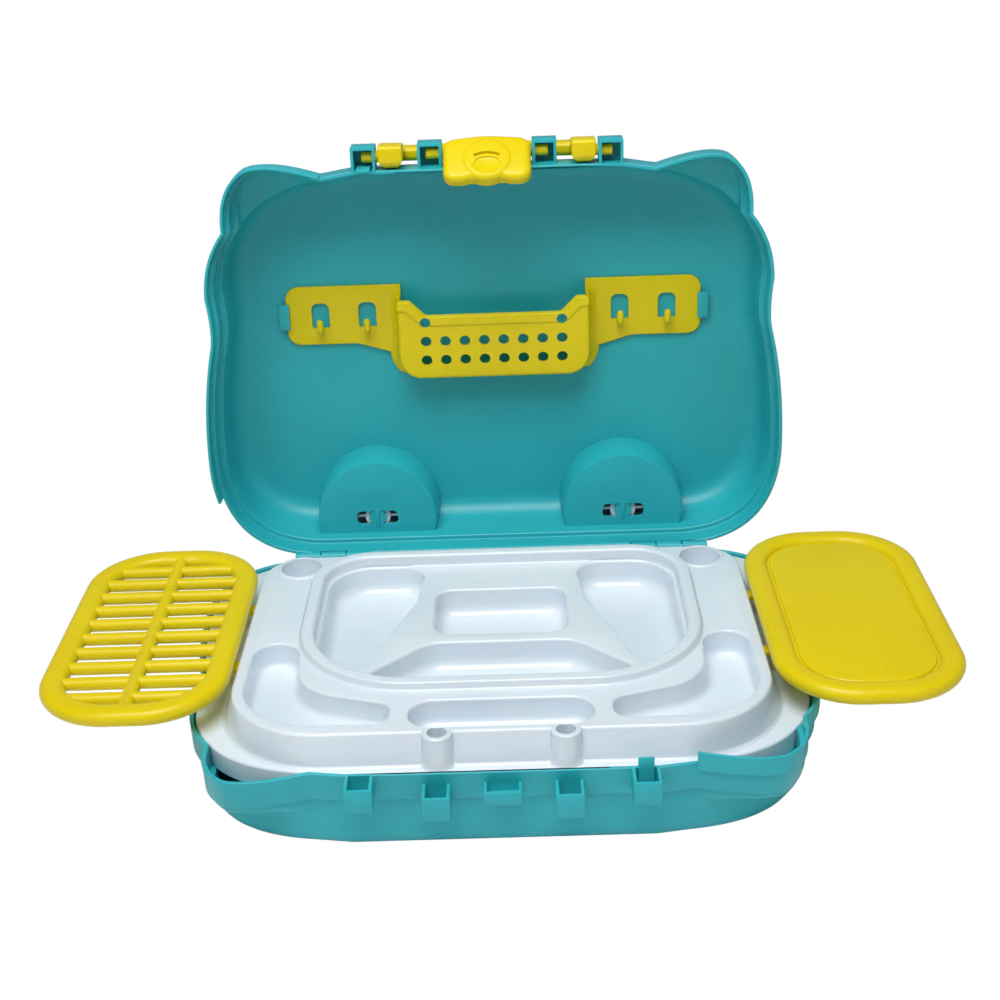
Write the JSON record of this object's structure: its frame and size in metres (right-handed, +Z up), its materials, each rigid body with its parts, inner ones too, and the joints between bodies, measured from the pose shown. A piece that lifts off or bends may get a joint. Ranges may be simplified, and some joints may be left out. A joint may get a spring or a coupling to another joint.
{
  "type": "toy carry case",
  "caption": "Hinged toy case opened into a play table, with a lift-out compartment tray, side bar rack, side board, lid organiser, carry handle and snap latch",
  "frame": {"origin": "middle of the base's flat underside, on the floor", "axes": "+X to the right across the case, +Y back towards the hinge and the upright lid, +Z up"},
  "size_m": [0.485, 0.3103, 0.3087],
  "materials": {
    "teal_plastic": "satin injection-moulded polypropylene, teal",
    "yellow_plastic": "glossy injection-moulded plastic, warm yellow",
    "white_plastic": "glossy injection-moulded plastic, cool white",
    "pin_steel": "plain drawn steel wire"
  },
  "bodies": {
    "base": {"base_shell": "teal_plastic", "hinge_pin_left": "pin_steel", "hinge_pin_right": "pin_steel"},
    "lid": {"lid_shell": "teal_plastic", "organiser": "yellow_plastic"},
    "tray": {"play_tray": "white_plastic"},
    "rack": {"bar_rack": "yellow_plastic"},
    "board": {"side_board": "yellow_plastic"},
    "latch": {"latch": "yellow_plastic"},
    "handle": {"handle": "yellow_plastic"},
    "base_wheel_left": {"base_wheel_left": "white_plastic"},
    "base_wheel_right": {"base_wheel_right": "white_plastic"},
    "lid_wheel_left": {"lid_wheel_left": "white_plastic"},
    "lid_wheel_right": {"lid_wheel_right": "white_plastic"}
  },
  "joints": [
    {"name": "lid_hinge", "type": "hinge", "parent": "base", "child": "lid", "pos_m": [0, 0.121, 0.05], "axis": [-1, 0, 0], "range_deg": [-91.5, 0]},
    {"name": "latch_pivot", "type": "hinge", "parent": "lid", "child": "latch", "pos_m": [0, 0.13899, 0.29761], "axis": [-1, 0, 0], "range_deg": [0, 38]},
    {"name": "handle_pivot", "type": "hinge", "parent": "lid", "child": "handle", "pos_m": [0, 0.13399, 0.29774], "axis": [1, 0, 0], "range_deg": [0, 95]},
    {"name": "tray_lift", "type": "slide", "parent": "base", "child": "tray", "axis": [0, 0, 1], "range_m": [0, 0.06]},
    {"name": "rack_slide", "type": "slide", "parent": "tray", "child": "rack", "axis": [-1, 0, 0], "range_m": [0, 0.08]},
    {"name": "board_slide", "type": "slide", "parent": "tray", "child": "board", "axis": [1, 0, 0], "range_m": [0, 0.08]},
    {"name": "base_wheel_left_spin", "type": "hinge", "parent": "base", "child": "base_wheel_left", "pos_m": [-0.078, 0.1045, 0.015], "axis": [0, 0, 1], "continuous": true},
    {"name": "base_wheel_right_spin", "type": "hinge", "parent": "base", "child": "base_wheel_right", "pos_m": [0.078, 0.1045, 0.015], "axis": [0, 0, 1], "continuous": true},
    {"name": "lid_wheel_left_spin", "type": "hinge", "parent": "lid", "child": "lid_wheel_left", "pos_m": [-0.078, 0.15642, 0.06558], "axis": [0, 0.9997, -0.0262], "continuous": true},
    {"name": "lid_wheel_right_spin", "type": "hinge", "parent": "lid", "child": "lid_wheel_right", "pos_m": [0.078, 0.15642, 0.06558], "axis": [0, 0.9997, -0.0262], "continuous": true}
  ],
  "couplings": [
    {"joint": "latch_pivot", "follows": "lid_hinge", "ratio": -0.41529},
    {"joint": "rack_slide", "follows": "lid_hinge", "m_per_rad": -0.050032},
    {"joint": "board_slide", "follows": "lid_hinge", "m_per_rad": -0.050032}
  ]
}
